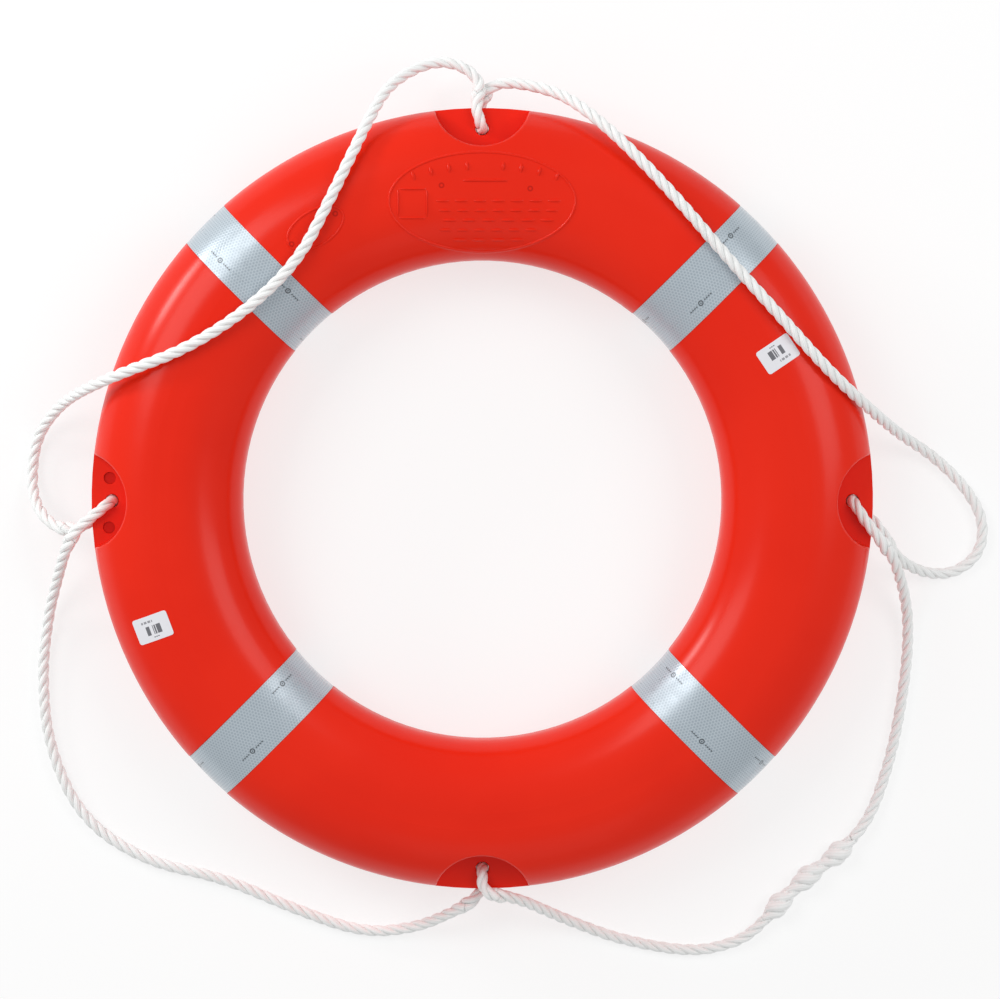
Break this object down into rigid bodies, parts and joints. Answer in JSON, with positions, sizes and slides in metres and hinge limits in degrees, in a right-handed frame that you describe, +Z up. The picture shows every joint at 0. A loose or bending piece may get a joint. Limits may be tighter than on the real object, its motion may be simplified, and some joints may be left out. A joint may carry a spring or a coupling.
{
  "type": "ring lifebuoy",
  "caption": "Round foam-filled lifebuoy with reflective tape bands and a grab line looped through recesses in its rim, laid flat.",
  "frame": {"origin": "on the floor under the centre of the ring, which lies on its back face", "axes": "+Z up along the ring's axis, out of its front face; +Y towards the top rope recess; +X towards the right one, seen from the front"},
  "size_m": [0.9406, 0.8754, 0.1225],
  "materials": {
    "ring_shell": "satin moulded polyethylene",
    "foam": "closed-cell foam",
    "plug": "satin",
    "tape": "retroreflective film",
    "label": "satin vinyl",
    "rope": "three-strand twisted rope"
  },
  "bodies": {
    "ring": {"shell": "ring_shell", "foam_core": "foam", "fill_plug": "plug", "vent_plug": "plug", "reflective_band_upper_right": "tape", "reflective_band_upper_left": "tape", "reflective_band_lower_left": "tape", "reflective_band_lower_right": "tape", "stock_label_left": "label", "stock_label_right": "label", "rope_anchor_top": "rope", "rope_anchor_left": "rope", "rope_anchor_bottom": "rope", "rope_anchor_right": "rope"},
    "line_top_left": {"grab_line_top_left": "rope"},
    "line_top_right": {"grab_line_top_right": "rope"},
    "line_bottom_left": {"grab_line_bottom_left": "rope"},
    "line_bottom_right": {"grab_line_bottom_right_a": "rope", "rope_splice": "rope", "grab_line_bottom_right_b": "rope"}
  },
  "joints": [
    {"name": "top_left_line_swing", "type": "hinge", "parent": "ring", "child": "line_top_left", "pos_m": [-0.00325, 0.38825, 0.06415], "axis": [0.6921, 0.7207, 0.0406], "range_deg": [0, 45], "deforming": ["grab_line_top_left"]},
    {"name": "top_right_line_swing", "type": "hinge", "parent": "ring", "child": "line_top_right", "pos_m": [0.0015, 0.38675, 0.0449], "axis": [0.6731, -0.7396, -0.0037], "range_deg": [0, 40], "deforming": ["grab_line_top_right"]},
    {"name": "bottom_left_line_swing", "type": "hinge", "parent": "ring", "child": "line_bottom_left", "pos_m": [-0.395, -0.03675, 0.05825], "axis": [-0.7271, 0.6854, 0.0385], "range_deg": [0, 120], "deforming": ["grab_line_bottom_left"]},
    {"name": "bottom_right_line_swing", "type": "hinge", "parent": "ring", "child": "line_bottom_right", "pos_m": [0.01425, -0.37975, 0.06815], "axis": [-0.7437, -0.6684, 0.0133], "range_deg": [0, 120], "deforming": ["grab_line_bottom_right_a", "rope_splice", "grab_line_bottom_right_b"]}
  ]
}
